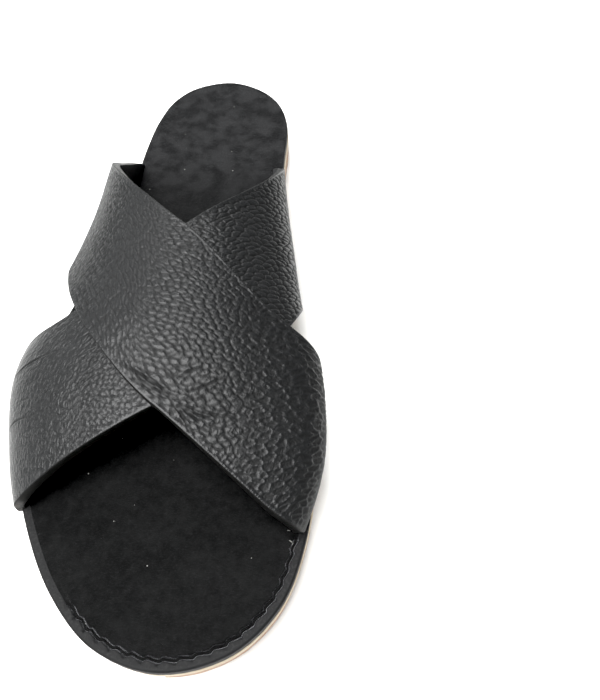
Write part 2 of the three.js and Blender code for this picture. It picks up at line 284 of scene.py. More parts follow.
# The bands: a reference surface on the inside of the leather, over the foot
crown_share = smooth_column(ARCH, "along", "crown")
lean_share = smooth_column(ARCH, "along", "lean")
outer_bulge_share = smooth_column(ARCH, "along", "outer_bulge")
inner_bulge_share = smooth_column(ARCH, "along", "inner_bulge")


def inside_point(along, sweep):
    y = y_at(along)
    inner_x = edge_x(inner_edge, y) - inner_seat_inset - band_thickness
    outer_x = edge_x(outer_edge, y) - outer_seat_overhang + band_thickness
    seat_z = level_height(insole_top + clearance, y)
    swing = -np.cos(math.pi * sweep)
    power = 2 / arch_fullness
    sideways = np.sign(swing) * np.abs(swing) ** power
    upward = np.maximum(0, np.sin(math.pi * sweep)) ** power
    bulge_share = np.where(swing > 0, inner_bulge_share(along), outer_bulge_share(along))
    bulge = bulge_share * ball_width * np.abs(np.sin(math.pi * upward)) ** bulge_softness
    lean = lean_share(along) * ball_width * upward**2
    x = (inner_x + outer_x) / 2 + ((inner_x - outer_x) / 2 + bulge) * sideways + lean
    z = seat_z + (crown_share(along) * instep_height - seat_z) * upward
    return np.stack([x, y, z], axis=-1)


def outward_normal(along, sweep, probe=0.002):
    """Level at the seats, where the leather stands upright."""
    back = np.maximum(0, sweep - probe)
    on = np.minimum(1, sweep + probe)
    across_foot = inside_point(along, on) - inside_point(along, back)
    along_foot = inside_point(along + probe, sweep) - inside_point(along - probe, sweep)
    normal = np.cross(along_foot, across_foot)
    normal[..., 2] *= smooth_step(np.minimum(sweep, 1 - sweep) / seat_blend)
    return normal / np.linalg.norm(normal, axis=-1, keepdims=True)


class Band:
    """One band: its edges, and how far it is lifted over its partner."""

    def __init__(self, name, lift):
        self.lift = lift
        self.rear = smooth_column(BAND_EDGES, "sweep", name + "_rear")
        self.front = smooth_column(BAND_EDGES, "sweep", name + "_front")

    def lap(self, sweep):
        near_seat = np.minimum(sweep, 1 - sweep)
        return self.lift * smooth_step((near_seat - lap_start) / (lap_full - lap_start))

    def place(self, sweep, share):
        """The way around the foot and the y of a place on the band."""
        rear = float(self.rear(sweep))
        return np.array([sweep * band_girth, y_at(rear + (float(self.front(sweep)) - rear) * share)])


top_band = Band("top", band_thickness + lap_gap)
under_band = Band("under", 0)


# Meshes from arrays
def new_object(name, points, faces, slots=(), face_slots=None, uv=None, attributes=None, smooth=True):
    """A mesh object in metres. Points are millimetres in the outline's frame, uv is one pair a point."""
    mesh = bpy.data.meshes.new(name)
    moved = (np.asarray(points) + [foot_shift, 0, 0]) * MM
    mesh.from_pydata(moved.tolist(), [], [tuple(int(i) for i in face) for face in faces])
    for material in slots:
        mesh.materials.append(material)
    if face_slots is not None:
        mesh.polygons.foreach_set("material_index", np.asarray(face_slots, dtype=np.int32))
    mesh.polygons.foreach_set("use_smooth", np.full(len(mesh.polygons), smooth))
    corners = np.zeros(len(mesh.loops), dtype=np.int32)
    mesh.loops.foreach_get("vertex_index", corners)
    if uv is not None:
        layer = mesh.uv_layers.new(name="leather")
        layer.data.foreach_set("uv", np.asarray(uv, dtype=np.float32)[corners].ravel())
    for key, values in (attributes or {}).items():
        attribute = mesh.attributes.new(key, "FLOAT", "POINT")
        attribute.data.foreach_set("value", np.asarray(values, dtype=np.float32))
    mesh.validate()
    mesh.update()
    piece = bpy.data.objects.new(name, mesh)
    bpy.context.scene.collection.objects.link(piece)
    return piece


def dress(piece, slot, *nodes):
    """The piece rides on the sandal's one body and stands for the given CAD nodes."""
    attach(piece, "root")
    if nodes:
        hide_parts(*nodes)
    return piece


def loft_faces(rows, columns, closed_columns):
    """Quads between the rows of a grid of points."""
    row, column = np.meshgrid(np.arange(rows - 1), np.arange(columns - (not closed_columns)), indexing="ij")
    row = row.ravel()
    column = column.ravel()
    column_on = (column + 1) % columns
    low = row * columns
    high = low + columns
    return np.stack([low + column, low + column_on, high + column_on, high + column], axis=1)


# Materials
def new_material(name):
    material = bpy.data.materials.new(name)
    material.use_nodes = True
    tree = material.node_tree
    tree.nodes.clear()
    output = tree.nodes.new("ShaderNodeOutputMaterial")
    shader = tree.nodes.new("ShaderNodeBsdfPrincipled")
    tree.links.new(shader.outputs["BSDF"], output.inputs["Surface"])
    return material, Nodes(tree), shader


class Nodes:
    """Short calls for the shader nodes that the materials use."""

    def __init__(self, tree):
        self.tree = tree

    def put(self, socket, value):
        if hasattr(value, "links"):
            self.tree.links.new(value, socket)
        elif value is not None:
            socket.default_value = value

    def math(self, operation, a, b=None, c=None, clamp=False):
        node = self.tree.nodes.new("ShaderNodeMath")
        node.operation = operation
        node.use_clamp = clamp
        for socket, value in zip(node.inputs, (a, b, c)):
            self.put(socket, value)
        return node.outputs[0]

    def vector(self, operation, a, b=None, scale=None):
        node = self.tree.nodes.new("ShaderNodeVectorMath")
        node.operation = operation
        self.put(node.inputs[0], a)
        self.put(node.inputs[1], b)
        if scale is not None:
            self.put(node.inputs["Scale"], scale)
        return node.outputs[0]

    def span(self, value, low, high, to_low=0.0, to_high=1.0, smooth=True):
        """Maps low..high to to_low..to_high."""
        node = self.tree.nodes.new("ShaderNodeMapRange")
        node.interpolation_type = "SMOOTHSTEP" if smooth else "LINEAR"
        for key, number in zip(("Value", "From Min", "From Max", "To Min", "To Max"),
                               (value, low, high, to_low, to_high)):
            self.put(node.inputs[key], number)
        return node.outputs["Result"]

    def mix(self, share, a, b):
        """Mixes two colours."""
        node = self.tree.nodes.new("ShaderNodeMix")
        node.data_type = "RGBA"
        self.put(node.inputs["Factor"], share)
        for key, value in (("A", a), ("B", b)):
            socket = next(s for s in node.inputs if s.name == key and s.type == "RGBA")
            self.put(socket, (*value, 1) if isinstance(value, tuple) and len(value) == 3 else value)
        return next(s for s in node.outputs if s.type == "RGBA")

    def noise(self, where, scale, detail=3.0, roughness=0.55, colour=False):
        node = self.tree.nodes.new("ShaderNodeTexNoise")
        self.put(node.inputs["Vector"], where)
        self.put(node.inputs["Scale"], scale)
        self.put(node.inputs["Detail"], detail)
        self.put(node.inputs["Roughness"], roughness)
        return node.outputs["Color" if colour else "Fac"]

    def cells(self, where, scale, feature="DISTANCE_TO_EDGE", randomness=1.0, output="Distance"):
        node = self.tree.nodes.new("ShaderNodeTexVoronoi")
        node.feature = feature
        self.put(node.inputs["Vector"], where)
        self.put(node.inputs["Scale"], scale)
        self.put(node.inputs["Randomness"], randomness)
        return node.outputs[output]

    def attribute(self, name):
        node = self.tree.nodes.new("ShaderNodeAttribute")
        node.attribute_name = name
        return node.outputs["Fac"]

    def uv(self):
        node = self.tree.nodes.new("ShaderNodeUVMap")
        node.uv_map = "leather"
        return node.outputs["UV"]

    def place(self, stretch=(1, 1, 1)):
        """Object coordinates in millimetres, stretched along each axis."""
        node = self.tree.nodes.new("ShaderNodeTexCoord")
        return self.vector("MULTIPLY", node.outputs["Object"], tuple(s / MM for s in stretch))

    def part_of(self, where, axis):
        """One of a vector's three numbers."""
        node = self.tree.nodes.new("ShaderNodeSeparateXYZ")
        self.put(node.inputs["Vector"], where)
        return node.outputs[axis]

    def turned(self, where, degrees, size):
        """Coordinates turned by an angle, in units of a size along and across."""
        node = self.tree.nodes.new("ShaderNodeMapping")
        node.vector_type = "TEXTURE"
        self.put(node.inputs["Vector"], where)
        node.inputs["Rotation"].default_value = (0, 0, math.radians(degrees))
        node.inputs["Scale"].default_value = (*size, 1)
        return node.outputs["Vector"]

    def bump(self, height, depth_mm, strength=1.0, after=None):
        node = self.tree.nodes.new("ShaderNodeBump")
        self.put(node.inputs["Height"], height)
        node.inputs["Distance"].default_value = depth_mm * MM
        node.inputs["Strength"].default_value = strength
        if after is not None:
            self.put(node.inputs["Normal"], after)
        return node.outputs["Normal"]


def shine(shader, roughness, specular=0.5, coat=0.0, coat_roughness=0.3, sheen=0.0, sheen_roughness=0.5):
    """Constant gloss values, set on the shader's own sockets."""
    shader.inputs["Roughness"].default_value = roughness
    shader.inputs["Specular IOR Level"].default_value = specular
    shader.inputs["Coat Weight"].default_value = coat
    shader.inputs["Coat Roughness"].default_value = coat_roughness
    shader.inputs["Sheen Weight"].default_value = sheen
    shader.inputs["Sheen Roughness"].default_value = sheen_roughness


def pebbled_leather():
    """Tumbled black leather. Its pebbles are in the mesh; the valley attribute and the cell borders darken the colour
    between them as painted shade.
    """
    material, n, shader = new_material("band_leather")
    shine(shader, 0.36, specular=0.24)
    where = n.uv()
    drift = n.vector("SUBTRACT", n.noise(where, 0.4, colour=True), (0.5, 0.5, 0.5))
    slanted = n.turned(n.vector("ADD", where, n.vector("SCALE", drift, scale=1.6)), -24, (1.35, 2.6))
    cell = n.cells(slanted, 1.0, feature="F1", randomness=0.85)
    border = n.span(n.cells(slanted, 1.0, randomness=0.85), 0.0, 0.26)
    domes = n.math("ADD", n.math("MULTIPLY", n.math("SUBTRACT", 1.0, cell), 0.35), n.math("MULTIPLY", border, 0.65))
    pores = n.noise(where, 2.6, detail=3.0, roughness=0.6)
    fine = n.attribute("fine")
    height = n.math("ADD", n.math("MULTIPLY", domes, fine), n.math("MULTIPLY", pores, 0.13))
    n.put(shader.inputs["Normal"], n.bump(height, 0.46))
    cloud = n.noise(where, 0.06, detail=3.0)
    tone = n.mix(cloud, (0.0100, 0.0103, 0.0107), (0.0150, 0.0153, 0.0157))
    # Painted shade: the colour goes near black in the cell borders and where the valley attribute marks valleys and
    # creases.
    gap = n.math("MULTIPLY", n.math("SUBTRACT", 1.0, border), fine)
    valley = n.math("MAXIMUM", n.attribute("valley"), n.math("MULTIPLY", gap, 0.7))
    tone = n.mix(n.math("MULTIPLY", valley, 0.95), tone, (0.0010, 0.0010, 0.0010))
    n.put(shader.inputs["Base Color"], tone)
    gloss = n.span(pores, 0.3, 0.7, 0.22, 0.31)
    gloss = n.math("ADD", gloss, n.math("MULTIPLY", valley, 0.45))
    n.put(shader.inputs["Roughness"], n.math("ADD", gloss, n.math("MULTIPLY", n.attribute("dull"), 0.4)))
    return material


def cut_edge_leather():
    """The dyed and rubbed cut edge of the bands."""
    material, n, shader = new_material("band_edge")
    shine(shader, 0.6, specular=0.14)
    where = n.place()
    streaks = n.noise(n.place((0.4, 0.4, 2.2)), 1.0, detail=4.0)
    tone = n.mix(n.noise(where, 0.3), (0.007, 0.007, 0.007), (0.014, 0.014, 0.0135))
    n.put(shader.inputs["Base Color"], tone)
    n.put(shader.inputs["Normal"], n.bump(streaks, 0.12))
    n.put(shader.inputs["Roughness"], n.span(streaks, 0.3, 0.7, 0.42, 0.6))
    return material


def flesh_side():
    """The bands' smooth inside."""
    material, n, shader = new_material("band_inside")
    shine(shader, 0.7, specular=0.25)
    where = n.place()
    tone = n.mix(n.noise(where, 0.25, detail=5.0), (0.018, 0.018, 0.0185), (0.032, 0.032, 0.033))
    n.put(shader.inputs["Base Color"], tone)
    n.put(shader.inputs["Normal"], n.bump(n.noise(where, 2.6, detail=4.0), 0.12))
    return material


def nubuck():
    """The footbed: charcoal nubuck with brushed nap, soft mottling, a few flecks of dust, and a lighter heel that is
    partly wear and partly painted sheen.
    """
    material, n, shader = new_material("footbed_nubuck")
    shine(shader, 0.9, specular=0.07, sheen=0.5, sheen_roughness=0.28)
    shader.inputs["Sheen Tint"].default_value = (0.75, 0.76, 0.8, 1)
    where = n.place()
    patches = n.noise(where, 0.055, detail=4.0, roughness=0.6)
    mottle = n.noise(where, 0.38, detail=5.0, roughness=0.65)
    nap = n.noise(n.place((0.55, 1.4, 1.0)), 2.2, detail=4.0, roughness=0.75)
    blotches = n.noise(where, 0.13, detail=5.0, roughness=0.6)
    # Painted sheen with wear: the tone grows lighter and blotchy towards the heel.
    heel = n.span(n.part_of(where, "Y"), 28.0, 78.0)
    blend = n.math("ADD", n.math("MULTIPLY", patches, 0.4), n.math("MULTIPLY", mottle, 0.6))
    tone = n.mix(n.span(blend, 0.34, 0.68), (0.0042, 0.0043, 0.0043), (0.0088, 0.0089, 0.0089))
    wear_and_painted_sheen = n.mix(n.span(blotches, 0.36, 0.62), (0.0068, 0.0068, 0.0070), (0.0175, 0.0175, 0.018))
    tone = n.mix(heel, tone, wear_and_painted_sheen)
    tone = n.mix(n.span(nap, 0.45, 0.8, 0.0, 0.4), tone, (0.026, 0.026, 0.027))
    flat = n.place((1, 1, 0))
    for spacing, radius, chance, brightness in ((7.0, 0.24, 0.7, 0.5), (17.0, 0.34, 0.45, 0.8)):
        speck = n.cells(flat, 1 / spacing, feature="F1")
        picked = n.math("LESS_THAN", n.cells(flat, 1 / spacing, feature="F1", output="Color"), chance)
        dust = n.math("MULTIPLY", n.span(speck, radius / spacing, 0.6 * radius / spacing), picked)
        tone = n.mix(n.math("MULTIPLY", dust, brightness), tone, (0.5, 0.5, 0.47))
    n.put(shader.inputs["Base Color"], tone)
    height = n.math("ADD", n.math("MULTIPLY", nap, 0.8), n.math("MULTIPLY", mottle, 0.5))
    n.put(shader.inputs["Normal"], n.bump(height, 0.3))
    return material


def burnished_rim():
    """The footbed's rubbed edge, smoother and lighter than the nap, with a satin gloss."""
    material, n, shader = new_material("footbed_rim")
    shine(shader, 0.6, specular=0.16)
    where = n.place()
    wear = n.noise(where, 0.28, detail=4.0)
    rub = n.noise(where, 1.3, detail=4.0, roughness=0.7)
    tone = n.mix(wear, (0.0065, 0.0065, 0.0068), (0.015, 0.015, 0.0155))
    tone = n.mix(n.span(rub, 0.45, 0.75, 0.0, 0.5), tone, (0.034, 0.034, 0.033))
    n.put(shader.inputs["Base Color"], tone)
    n.put(shader.inputs["Normal"], n.bump(rub, 0.22))
    n.put(shader.inputs["Roughness"], n.span(wear, 0.3, 0.7, 0.55, 0.68))
    return material


def stacked_leather(name, pale, dark, seed):
    """The cut edge of vegetable-tanned leather, with fibres that run round the sole."""
    material, n, shader = new_material(name)
    shine(shader, 0.62, specular=0.35)
    where = n.vector("ADD", n.place(), (seed, seed, 0.0))
    fibres = n.noise(n.vector("ADD", n.place((0.22, 0.22, 3.0)), (seed, 0.0, seed)), 1.0, detail=5.0, roughness=0.65)
    cloud = n.noise(where, 0.07, detail=3.0)
    specks = n.noise(where, 1.9, detail=2.0, roughness=0.7)
    tone = n.mix(n.span(fibres, 0.34, 0.68), dark, pale)
    darker = tuple(channel * 0.72 for channel in dark)
    tone = n.mix(n.span(cloud, 0.45, 0.8, 0.0, 0.45), tone, darker)
    tone = n.mix(n.span(specks, 0.66, 0.80, 0.0, 0.5), tone, darker)
    n.put(shader.inputs["Base Color"], tone)
    height = n.math("ADD", n.math("MULTIPLY", fibres, 0.7), n.math("MULTIPLY", specks, 0.3))
    n.put(shader.inputs["Normal"], n.bump(height, 0.16))
    return material


def black_edge(name="dark_edge_leather"):
    """Dyed and waxed cut leather, as in the thin layer under the footbed."""
    material, n, shader = new_material(name)
    shine(shader, 0.6, specular=0.14)
    where = n.place()
    tone = n.mix(n.noise(where, 0.3, detail=4.0), (0.006, 0.006, 0.0062), (0.013, 0.013, 0.0135))
    n.put(shader.inputs["Base Color"], tone)
    n.put(shader.inputs["Normal"], n.bump(n.noise(where, 1.3, detail=4.0), 0.12))
    return material


def plain_material(name, tone, roughness, specular=0.5):
    material, n, shader = new_material(name)
    shine(shader, roughness, specular=specular)
    shader.inputs["Base Color"].default_value = (*tone, 1)
    return material


def thread(name, dark, pale):
    """Waxed thread with its twist."""
    material, n, shader = new_material(name)
    shine(shader, 0.75, specular=0.12)
    twist = n.noise(n.place((1.4, 1.4, 1.4)), 2.4, detail=2.0)
    n.put(shader.inputs["Base Color"], n.mix(twist, dark, pale))
    n.put(shader.inputs["Normal"], n.bump(twist, 0.12))
    return material


# The sole's layers are lofted through rings around the outline
notch_ends = [band.rear(sweep) for band in (top_band, under_band) for sweep in (0, 1)]
notch_ends += [band.front(sweep) for band in (top_band, under_band) for sweep in (0, 1)]
notch_sharpness = 0.04


def station_ys():
    """Stations from heel to toe, closer at the tips, with a close pair at each end of a notch."""
    shares = 0.5 - 0.5 * np.cos(math.pi * np.arange(1, station_steps) / station_steps)
    ys = inner_edge[0, 1] + (inner_edge[-1, 1] - inner_edge[0, 1]) * shares
    pairs = [y_at(float(end)) + side for end in notch_ends for side in (-notch_sharpness, notch_sharpness)]
    return np.sort(np.concatenate([ys, pairs]))[::-1]


stations = station_ys()


def outline_loop():
    inner = np.stack([edge_x(inner_edge, stations), stations], axis=1)
    outer = np.stack([edge_x(outer_edge, stations), stations], axis=1)
    return np.concatenate([inner_edge[:1], inner, inner_edge[-1:], outer[::-1]])


sole_loop = outline_loop()
loop_count = len(sole_loop)
loop_inner = np.concatenate([[False], np.ones(len(stations), bool), [False], np.zeros(len(stations), bool)])


def loop_inward():
    """Inward directions of the loop, smoothed over its close pairs of stations."""
    dense = outline_points()
    tangent = np.roll(dense, -1, axis=0) - np.roll(dense, 1, axis=0)
    inward = np.stack([tangent[:, 1], -tangent[:, 0]], axis=1) * -1
    inward /= np.linalg.norm(inward, axis=1, keepdims=True)
    centre = dense.mean(axis=0)
    if np.mean(np.sum(inward * (centre - dense), axis=1)) < 0:
        inward = -inward
    nearest = np.argmin(((sole_loop[:, None, :] - dense[None, :, :]) ** 2).sum(axis=2), axis=1)
    return inward[nearest]


sole_inward = loop_inward()
loop_steps = np.linalg.norm(np.roll(sole_loop, -1, axis=0) - sole_loop, axis=1)
loop_length = loop_steps.sum()
loop_travel = np.concatenate([[0], np.cumsum(loop_steps)[:-1]])


def waver(seed, size):
    """A small hand-cut unevenness around the sole, which closes on itself."""
    turn = 2 * math.pi * loop_travel / loop_length
    waves = [(5, 0.5), (11, 0.35), (23, 0.3), (47, 0.22), (89, 0.16), (151, 0.1)]
    return size * sum(share * np.sin(count * turn + seed * (count % 7 + 1)) for count, share in waves)


def ring_points(inset, height):
    """One ring: inset in from the outline, at a height that is a function of y."""
    points = sole_loop + sole_inward * np.broadcast_to(np.asarray(inset, dtype=float), (loop_count,))[:, None]
    return np.column_stack([points, height(points[:, 1])])


def strip_cap(ring, columns, height, start, upward):
    """Fills a ring with strips between its inner and outer side. Returns new points and faces."""
    half = loop_count // 2
    near = ring[1:half]
    far = ring[:half:-1]
    shares = np.arange(1, columns) / columns
    middle = near[:, None, :] * (1 - shares)[None, :, None] + far[:, None, :] * shares[None, :, None]
    if columns > 1:
        middle[..., 2] = height(middle[..., 0], middle[..., 1])
    grid = np.empty((half - 1, columns + 1), dtype=int)
    grid[:, 0] = np.arange(1, half)
    grid[:, -1] = np.arange(loop_count - 1, half, -1)
    offset = start["new"] + np.arange((half - 1) * (columns - 1)).reshape(half - 1, columns - 1)
    grid[:, 1:-1] = offset
    grid[:, [0, -1]] += start["ring"]
    quads = [
        (grid[r, c], grid[r + 1, c], grid[r + 1, c + 1], grid[r, c + 1])
        for r in range(half - 2)
        for c in range(columns)
    ]
    heel = start["ring"]
    toe = start["ring"] + half
    ends = [(heel, grid[0, c], grid[0, c + 1]) for c in range(columns)]
    ends += [(toe, grid[-1, c + 1], grid[-1, c]) for c in range(columns)]
    faces = quads + ends
    if not upward:
        faces = [face[::-1] for face in faces]
    return middle.reshape(-1, 3), faces


def layer_piece(name, rings, materials, ring_slots, cap_columns=1, cap_height=None, attributes=None):
    """A closed layer through rings from its underside to its top, each (inset, height)."""
    points = np.concatenate([ring_points(inset, height) for inset, height in rings])
    walls = loft_faces(len(rings), loop_count, True)
    slots = np.repeat(ring_slots, loop_count)
    count = len(points)
    last = (len(rings) - 1) * loop_count
    low_new, low_faces = strip_cap(points[:loop_count], 1, None, {"ring": 0, "new": count}, False)
    top_new, top_faces = strip_cap(
        points[last:], cap_columns, cap_height, {"ring": last, "new": count + len(low_new)}, True
    )
    points = np.concatenate([points, low_new, top_new])
    faces = [*walls.tolist(), *low_faces, *top_faces]
    slots = np.concatenate([slots, np.zeros(len(low_faces)), np.full(len(top_faces), ring_slots[-1])])
    piece = new_object(name, points, faces, slots=materials, face_slots=slots)
    clean_mesh(piece)
    return piece


def clean_mesh(piece, distance_mm=0.004):
    """Joins points that fell together and turns every face outward."""
    import bmesh

    work = bmesh.new()
    work.from_mesh(piece.data)
    bmesh.ops.remove_doubles(work, verts=work.verts, dist=distance_mm * MM)
    bmesh.ops.dissolve_degenerate(work, edges=work.edges, dist=distance_mm * MM)
    bmesh.ops.recalc_face_normals(work, faces=work.faces)
    work.to_mesh(piece.data)
    work.free()
    piece.data.update()


def toe_tuck():
    """How much the cut leans in towards the floor: 1 on the toe's outer side, less inside, 0 elsewhere."""
    along = along_at(sole_loop[:, 1])
    outer = ramp(0.8, 0.95, along)
    return np.where(loop_inner, outer * np.maximum(ramp(0.2 * ball_width, 0, sole_loop[:, 0]), 0.7), outer)


def sole_layer(name, low, high, node, slot, material, seed, inset=0.0, tuck_under=0.0, on_floor=False):
    """One cut layer of the sole, with softly broken corners and a slightly uneven face."""
    bottom = low - (0 if on_floor else joint_reach)
    top = high + joint_reach
    uneven = inset + waver(seed, 0.08) + tuck_under * toe_tuck()

    def at(level):
        return lambda y: level_height(level, y)

    def under(lift):
        if on_floor:
            return lambda y: floor_height(y) + lift
        return at(bottom + lift)

    def part_way(share):
        if on_floor:
            return lambda y: floor_height(y) * (1 - share) + level_height(top, y) * share
        return at(bottom + (top - bottom) * share)

    corner = 0.28
    rings = [
        (uneven + corner + 1.2, under(0)),
        (uneven + corner, under(0)),
        (uneven + corner * 0.3, under(corner * 0.3)),
        (uneven, under(corner)),
        (uneven - 0.06, part_way(0.35)),
        (uneven - 0.03, part_way(0.65)),
        (uneven, at(top - corner)),
        (uneven + corner * 0.3, at(top - corner * 0.3)),
        (uneven + corner, at(top)),
        (uneven + corner + 1.2, at(top)),
    ]
    piece = layer_piece(name, rings, [material], np.zeros(len(rings) - 1))
    return dress(piece, slot, node)


def build_sole():
    outsole = stacked_leather("outsole_leather", (0.40, 0.27, 0.175), (0.29, 0.175, 0.11), 3.0)
    lower = stacked_leather("lower_midsole_leather", (0.48, 0.37, 0.27), (0.36, 0.26, 0.18), 17.0)
    upper = stacked_leather("upper_midsole_leather", (0.58, 0.51, 0.395), (0.46, 0.37, 0.265), 29.0)
    sole_layer("outsole_tread", 0, outsole_top, "outsole", "outsole_leather", outsole, 1.3,
               tuck_under=1.05, on_floor=True)
    sole_layer("midsole_lower_edge", lower_midsole_bottom, lower_midsole_top, "midsole_lower",
               "lower_midsole_leather", lower, 2.1, tuck_under=0.65)
    sole_layer("midsole_upper_edge", upper_midsole_bottom, upper_midsole_top, "midsole_upper",
               "upper_midsole_leather", upper, 4.7, tuck_under=0.25)


# Notches where the bands go down past the footbed
def notch_inset(extra):
    """How far in the loop's points lie where a band passes, and 0 elsewhere."""
    y = sole_loop[:, 1]
    result = np.zeros(loop_count)
    for band in (top_band, under_band):
        for sweep, side in ((0, ~loop_inner), (1, loop_inner)):
            rear = y_at(float(band.rear(sweep))) + clearance
            front = y_at(float(band.front(sweep))) - clearance
            reach = band_thickness - outer_seat_overhang if sweep == 0 else band_thickness + inner_seat_inset
            within = side & (y < rear) & (y > front)
            result = np.where(within, reach + extra, result)
    return result


# The stitched groove runs from the inner front foot of the bands around the toe
groove_from = 0.857
groove_to = 0.925


def groove_share():
    """1 where the groove is cut, fading out on the outer side of the toe."""
    along = along_at(sole_loop[:, 1])
    inner_part = ramp(groove_from - 0.004, groove_from + 0.002, along)
    outer_part = ramp(groove_to, groove_to + 0.04, along)
    return np.where(loop_inner, inner_part, outer_part)


def groove_waver(share):
    """The groove's centre steps outward a little with each stitch, like a hand-sewn line."""
    stitch = np.mod(loop_travel / stitch_length, 1)
    return groove_step * (smooth_step(np.minimum(stitch / 0.82, (1 - stitch) / 0.18)) - 0.5) * share


hole_along = 0.8575
hole_inset = 3.4
hole_radius = 1.0
hole_depth = 1.7


def hole_spot():
    """Where the hole lies in plan, in the outline's frame."""
    ring = ring_points(hole_inset, lambda y: y * 0)
    distance = np.where(loop_inner, np.abs(along_at(sole_loop[:, 1]) - hole_along), 1)
    return ring[int(np.argmin(distance)), :2]


def footbed_undulation(x, y):
    """Slight hollows of a hand-cut footbed, in millimetres."""
    return (
        0.10 * np.sin(x / 13.0 + 0.8) * np.cos(y / 21.0)
        + 0.06 * np.sin(x / 5.3 + y / 7.9 + 1.7)
        + 0.04 * np.sin(x / 2.9 - y / 3.7)
    )


def build_footbed():
    notch = notch_inset(clearance)
    share = groove_share()
    hole = hole_spot()

    def top_level(x, y, fade=1.0):
        return level_height(insole_top, y) + footbed_undulation(x, y) * fade

    rings = [(1.6, insole_bottom - joint_reach, 0, 0), (black_edge_inset, insole_bottom - joint_reach, 0, 0)]
    rings.append((black_edge_inset - 0.05, insole_bottom + 0.35, 0, 0))
    for angle in np.linspace(0, math.pi / 2, 8):
        inset = black_edge_inset + rim_radius * (1 - math.cos(angle))
        rings.append((inset, insole_top - rim_radius * 0.9 * (1 - math.sin(angle)), 0, 0))
    strip_from = len(rings) - 2
    rings += [(1.4, insole_top + 0.02, 0, 0), (strip_inset - 0.35, insole_top + 0.03, 0, 0)]
    for step in np.linspace(-1.35, 1.35, 15):
        inset = groove_inset + step * groove_half_width
        dip = groove_depth * math.exp(-((step * 1.3) ** 4))
        lip = 0.12 * math.exp(-(((step - 1.2) / 0.25) ** 2))
        rings.append((inset, insole_top, dip - lip, 1))
    strip_to = strip_from + 7
    rings += [(5.4, insole_top, 0, 0.3), (7.0, insole_top, 0, 0)]
    points = []
    for inset, level, dip, follow in rings:
        at = np.maximum(inset + follow * groove_waver(share), notch)
        ring = ring_points(at, lambda y, level=level: level_height(level, y))
        fade = ramp(1.0, 6.0, inset)
        ring[:, 2] += footbed_undulation(ring[:, 0], ring[:, 1]) * fade - dip * share
        if inset > black_edge_inset + rim_radius:
            from_hole = np.hypot(*(ring[:, :2] - hole).T)
            ring[:, 2] -= hole_depth * hump(from_hole, 0, hole_radius)
        points.append(ring)
    count = len(rings)
    around_toe = along_at(sole_loop[:, 1]) > np.where(loop_inner, 0.7, 0.69)
    slots_by_ring = np.zeros((count - 1, loop_count), dtype=int)
    slots_by_ring[strip_from:strip_to] = around_toe
    slots_by_ring[:strip_from] = 2
    stacked = np.concatenate(points)
    walls = loft_faces(count, loop_count, True)
    last = (count - 1) * loop_count
    low_new, low_faces = strip_cap(stacked[:loop_count], 1, None, {"ring": 0, "new": len(stacked)}, False)
    top_new, top_faces = strip_cap(
        stacked[last:], 40, top_level, {"ring": last, "new": len(stacked) + len(low_new)}, True
    )
    slots = np.concatenate([slots_by_ring.ravel(), np.full(len(low_faces), 2), np.zeros(len(top_faces))])
    piece = new_object(
        "footbed", np.concatenate([stacked, low_new, top_new]), [*walls.tolist(), *low_faces, *top_faces],
        slots=[nubuck(), burnished_rim(), black_edge("footbed_cut_edge")], face_slots=slots,
    )
    clean_mesh(piece)
    return dress(piece, "footbed_nubuck", "insole")


# Stitches in the groove
def groove_path():
    """Points along the groove's floor, from the inner front foot around the toe, a tenth of a millimetre apart."""
    centre = groove_inset + groove_waver(1)
    ring = ring_points(centre, lambda y: level_height(insole_top - groove_depth, y))
    along = along_at(sole_loop[:, 1])
    keep = np.where(loop_inner, along > groove_from, along > groove_to + 0.02)
    index = np.flatnonzero(keep)
    path = ring[index]
    steps = np.linalg.norm(np.diff(path, axis=0), axis=1)
    travel = np.concatenate([[0], np.cumsum(steps)])
    even = np.arange(0, travel[-1], 0.1)
    return np.column_stack([np.interp(even, travel, path[:, axis]) for axis in range(3)])


def tube(path, radii, sides=8, flatten=1.0):
    """Points and faces of a closed tube through a short path, with a radius at each point."""
    path = np.asarray(path, dtype=float)
    tangent = np.gradient(path, axis=0)
    tangent /= np.linalg.norm(tangent, axis=1, keepdims=True)
    side = np.cross(tangent, [0, 0, 1.0])
    side /= np.linalg.norm(side, axis=1, keepdims=True)
    up = np.cross(side, tangent)
    angles = 2 * math.pi * np.arange(sides) / sides
    ring = np.cos(angles)[None, :, None] * side[:, None, :] + flatten * np.sin(angles)[None, :, None] * up[:, None, :]
    points = (path[:, None, :] + ring * np.asarray(radii)[:, None, None]).reshape(-1, 3)
    faces = loft_faces(len(path), sides, True).tolist()
    faces.append(list(range(sides))[::-1])
    faces.append(list(range((len(path) - 1) * sides, len(path) * sides)))
    return points, faces


def joined(parts):
    """One set of points and faces from several."""
    points = []
    faces = []
    count = 0
    for part_points, part_faces in parts:
        points.append(part_points)
        faces += [[index + count for index in face] for face in part_faces]
        count += len(part_points)
    return np.concatenate(points), faces


def build_stitches():
    path = groove_path()
    per_stitch = int(round(stitch_length / 0.1))
    parts = []
    for number in range((len(path) - 1) // per_stitch):
        low = number * per_stitch + int(stitch_gap / 0.1 / 2)
        high = (number + 1) * per_stitch - int(stitch_gap / 0.1 / 2)
        stretch = path[low:high:4]
        shares = np.linspace(0, 1, len(stretch))
        side = np.cross(path[high] - path[low], [0, 0, 1.0])
        side /= np.linalg.norm(side)
        slant = 0.12 * math.sin(number * 2.3)
        rise = 0.3 * np.sin(math.pi * shares) ** 0.6 - 0.1
        points = stretch + side[None, :] * slant
        points[:, 2] += rise
        radii = thread_radius * (0.55 + 0.45 * np.sin(math.pi * shares) ** 0.5)
        parts.append(tube(points, radii, flatten=0.85))
    points, faces = joined(parts)
    black = thread("waxed_thread", (0.002, 0.002, 0.002), (0.006, 0.006, 0.006))
    return dress(new_object("toe_stitches", points, faces, slots=[black]), "dark_edge_leather")


